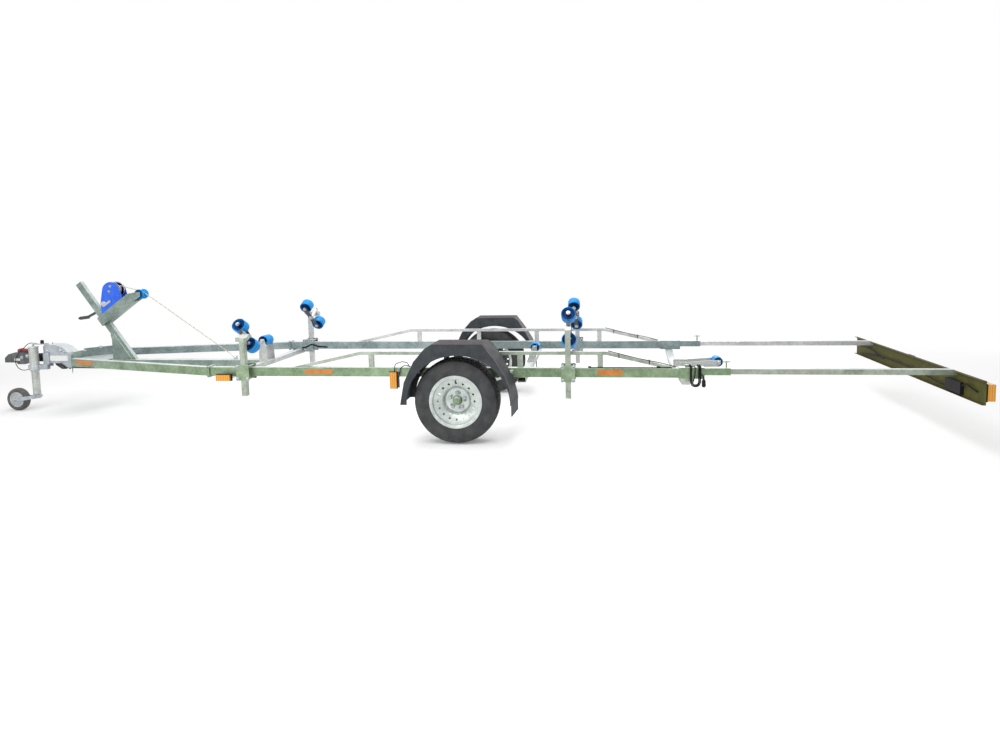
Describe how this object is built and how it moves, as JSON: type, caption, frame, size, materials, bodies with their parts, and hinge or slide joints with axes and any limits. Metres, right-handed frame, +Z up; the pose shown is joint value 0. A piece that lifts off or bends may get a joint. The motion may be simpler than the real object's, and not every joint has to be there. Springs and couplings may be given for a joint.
{
  "type": "boat trailer",
  "caption": "Boat trailer with a V drawbar, a cradle of blue rollers on side posts, a winch stand, support wheel, mudguards and a draw-out lighting board.",
  "frame": {"origin": "on the ground plane, under the middle of the box round the whole trailer at rest", "axes": "+Z up, +Y to the rear (the lighting board), +X to the trailer's left when looking forwards, the side of the support wheel"},
  "size_m": [1.97, 8.066, 1.1865],
  "materials": {
    "zinc_steel": "hot-dip galvanised, dull and mottled",
    "dark_steel": "black passivated",
    "blue_paint": "smooth satin paint",
    "blue_rubber": "smooth moulded",
    "black_rubber": "matt moulded",
    "tyre_rubber": "matt",
    "silver_paint": "silver wheel paint",
    "black_plastic": "grained",
    "olive_board": "dull",
    "red_lens": "clear-coated lens",
    "amber_lens": "clear-coated lens",
    "cable_sheath": "smooth sheath",
    "rope_fibre": "braided"
  },
  "bodies": {
    "chassis": {"side_rails": "zinc_steel", "drawbar_beams": "zinc_steel", "drawbar_head": "zinc_steel", "centre_beam": "zinc_steel", "cross_members": "zinc_steel", "rear_sleeves": "zinc_steel", "overbars": "zinc_steel", "axle_tube": "zinc_steel", "swing_arms": "zinc_steel", "mudguards": "black_plastic", "mudguard_lugs": "zinc_steel", "side_posts": "zinc_steel", "post_clamps": "zinc_steel", "keel_brackets": "zinc_steel", "winch_post": "zinc_steel", "winch_channel": "zinc_steel", "winch_reel": "blue_paint", "winch_rope": "rope_fibre", "rope_hook": "zinc_steel", "coupling_head": "dark_steel", "coupling_handle": "black_plastic", "overrun_unit": "zinc_steel", "overrun_bellows": "black_rubber", "support_clamp": "zinc_steel", "support_tube": "zinc_steel", "side_lamps": "amber_lens", "breakaway_cable": "cable_sheath", "lamp_cable_hank": "cable_sheath", "lamp_plug": "cable_sheath"},
    "left_wheel": {"left_tyre": "tyre_rubber", "left_rim": "silver_paint", "left_hub": "zinc_steel"},
    "right_wheel": {"right_tyre": "tyre_rubber", "right_rim": "silver_paint", "right_hub": "zinc_steel"},
    "bow_roller": {"bow_roller": "blue_rubber"},
    "winch_crank": {"winch_crank": "dark_steel"},
    "keel_roller_front": {"keel_roller_front": "blue_rubber"},
    "keel_roller_middle": {"keel_roller_middle": "blue_rubber"},
    "keel_roller_rear": {"keel_roller_rear": "blue_rubber"},
    "support_leg": {"support_leg": "zinc_steel"},
    "support_fork": {"support_fork": "zinc_steel"},
    "support_wheel": {"support_tyre": "tyre_rubber", "support_rim": "silver_paint"},
    "light_board": {"lighting_board": "olive_board", "light_tubes": "zinc_steel", "board_lamps": "red_lens"},
    "rocker_front_left": {"rocker_front_left": "dark_steel"},
    "roller_front_left_upper": {"roller_front_left_upper": "blue_rubber"},
    "roller_front_left_lower": {"roller_front_left_lower": "blue_rubber"},
    "rocker_front_right": {"rocker_front_right": "dark_steel"},
    "roller_front_right_upper": {"roller_front_right_upper": "blue_rubber"},
    "roller_front_right_lower": {"roller_front_right_lower": "blue_rubber"},
    "rocker_rear_left": {"rocker_rear_left": "dark_steel"},
    "roller_rear_left_upper": {"roller_rear_left_upper": "blue_rubber"},
    "roller_rear_left_lower": {"roller_rear_left_lower": "blue_rubber"},
    "rocker_rear_right": {"rocker_rear_right": "dark_steel"},
    "roller_rear_right_upper": {"roller_rear_right_upper": "blue_rubber"},
    "roller_rear_right_lower": {"roller_rear_right_lower": "blue_rubber"}
  },
  "joints": [
    {"name": "left_wheel_spin", "type": "hinge", "parent": "chassis", "child": "left_wheel", "pos_m": [0.798, 0.467, 0.314], "axis": [1, 0, 0], "continuous": true},
    {"name": "right_wheel_spin", "type": "hinge", "parent": "chassis", "child": "right_wheel", "pos_m": [-0.798, 0.467, 0.314], "axis": [1, 0, 0], "continuous": true},
    {"name": "keel_roller_front_spin", "type": "hinge", "parent": "chassis", "child": "keel_roller_front", "pos_m": [0, -1.458, 0.639], "axis": [1, 0, 0], "continuous": true},
    {"name": "keel_roller_middle_spin", "type": "hinge", "parent": "chassis", "child": "keel_roller_middle", "pos_m": [0, 0.967, 0.577], "axis": [1, 0, 0], "continuous": true},
    {"name": "keel_roller_rear_spin", "type": "hinge", "parent": "chassis", "child": "keel_roller_rear", "pos_m": [0, 2.474, 0.455], "axis": [1, 0, 0], "continuous": true},
    {"name": "bow_roller_spin", "type": "hinge", "parent": "chassis", "child": "bow_roller", "pos_m": [0, -2.63, 1.065], "axis": [1, 0, 0], "continuous": true},
    {"name": "winch_crank_turn", "type": "hinge", "parent": "chassis", "child": "winch_crank", "pos_m": [0, -2.979, 0.98], "axis": [1, 0, 0], "continuous": true},
    {"name": "rocker_front_left_rock", "type": "hinge", "parent": "chassis", "child": "rocker_front_left", "pos_m": [0.552, -1.309, 0.756], "axis": [0.866, 0, 0.5], "range_deg": [-44, 146]},
    {"name": "roller_front_left_upper_spin", "type": "hinge", "parent": "rocker_front_left", "child": "roller_front_left_upper", "pos_m": [0.5112, -1.37508, 0.82667], "axis": [0.866, 0, 0.5], "continuous": true},
    {"name": "roller_front_left_lower_spin", "type": "hinge", "parent": "rocker_front_left", "child": "roller_front_left_lower", "pos_m": [0.5928, -1.24292, 0.68533], "axis": [0.866, 0, 0.5], "continuous": true},
    {"name": "rocker_front_right_rock", "type": "hinge", "parent": "chassis", "child": "rocker_front_right", "pos_m": [-0.552, -1.274, 0.809], "axis": [0.866, 0, -0.5], "range_deg": [-23, 167]},
    {"name": "roller_front_right_upper_spin", "type": "hinge", "parent": "rocker_front_right", "child": "roller_front_right_upper", "pos_m": [-0.50207, -1.30645, 0.89548], "axis": [0.866, 0, -0.5], "continuous": true},
    {"name": "roller_front_right_lower_spin", "type": "hinge", "parent": "rocker_front_right", "child": "roller_front_right_lower", "pos_m": [-0.60193, -1.24155, 0.72252], "axis": [0.866, 0, -0.5], "continuous": true},
    {"name": "rocker_rear_left_rock", "type": "hinge", "parent": "chassis", "child": "rocker_rear_left", "pos_m": [0.552, 1.278, 0.807], "axis": [0.866, 0, 0.5], "range_deg": [-7, 183]},
    {"name": "roller_rear_left_upper_spin", "type": "hinge", "parent": "rocker_rear_left", "child": "roller_rear_left_upper", "pos_m": [0.49953, 1.27434, 0.89788], "axis": [0.866, 0, 0.5], "continuous": true},
    {"name": "roller_rear_left_lower_spin", "type": "hinge", "parent": "rocker_rear_left", "child": "roller_rear_left_lower", "pos_m": [0.60447, 1.28166, 0.71612], "axis": [0.866, 0, 0.5], "continuous": true},
    {"name": "rocker_rear_right_rock", "type": "hinge", "parent": "chassis", "child": "rocker_rear_right", "pos_m": [-0.552, 1.29, 0.796], "axis": [0.866, 0, -0.5], "range_deg": [-10, 180]},
    {"name": "roller_rear_right_upper_spin", "type": "hinge", "parent": "rocker_rear_right", "child": "roller_rear_right_upper", "pos_m": [-0.4997, 1.28085, 0.88659], "axis": [0.866, 0, -0.5], "continuous": true},
    {"name": "roller_rear_right_lower_spin", "type": "hinge", "parent": "rocker_rear_right", "child": "roller_rear_right_lower", "pos_m": [-0.6043, 1.29915, 0.70541], "axis": [0.866, 0, -0.5], "continuous": true},
    {"name": "support_leg_slide", "type": "slide", "parent": "chassis", "child": "support_leg", "axis": [0, 0, 1], "range_m": [-0.02, 0.13]},
    {"name": "support_fork_swivel", "type": "hinge", "parent": "support_leg", "child": "support_fork", "pos_m": [0.092, -3.673, 0.152], "axis": [0, 0, 1], "continuous": true},
    {"name": "support_wheel_spin", "type": "hinge", "parent": "support_fork", "child": "support_wheel", "pos_m": [0.092, -3.865, 0.105], "axis": [1, 0, 0], "continuous": true},
    {"name": "light_board_slide", "type": "slide", "parent": "chassis", "child": "light_board", "axis": [0, 1, 0], "range_m": [-1.2, 0.2]}
  ]
}
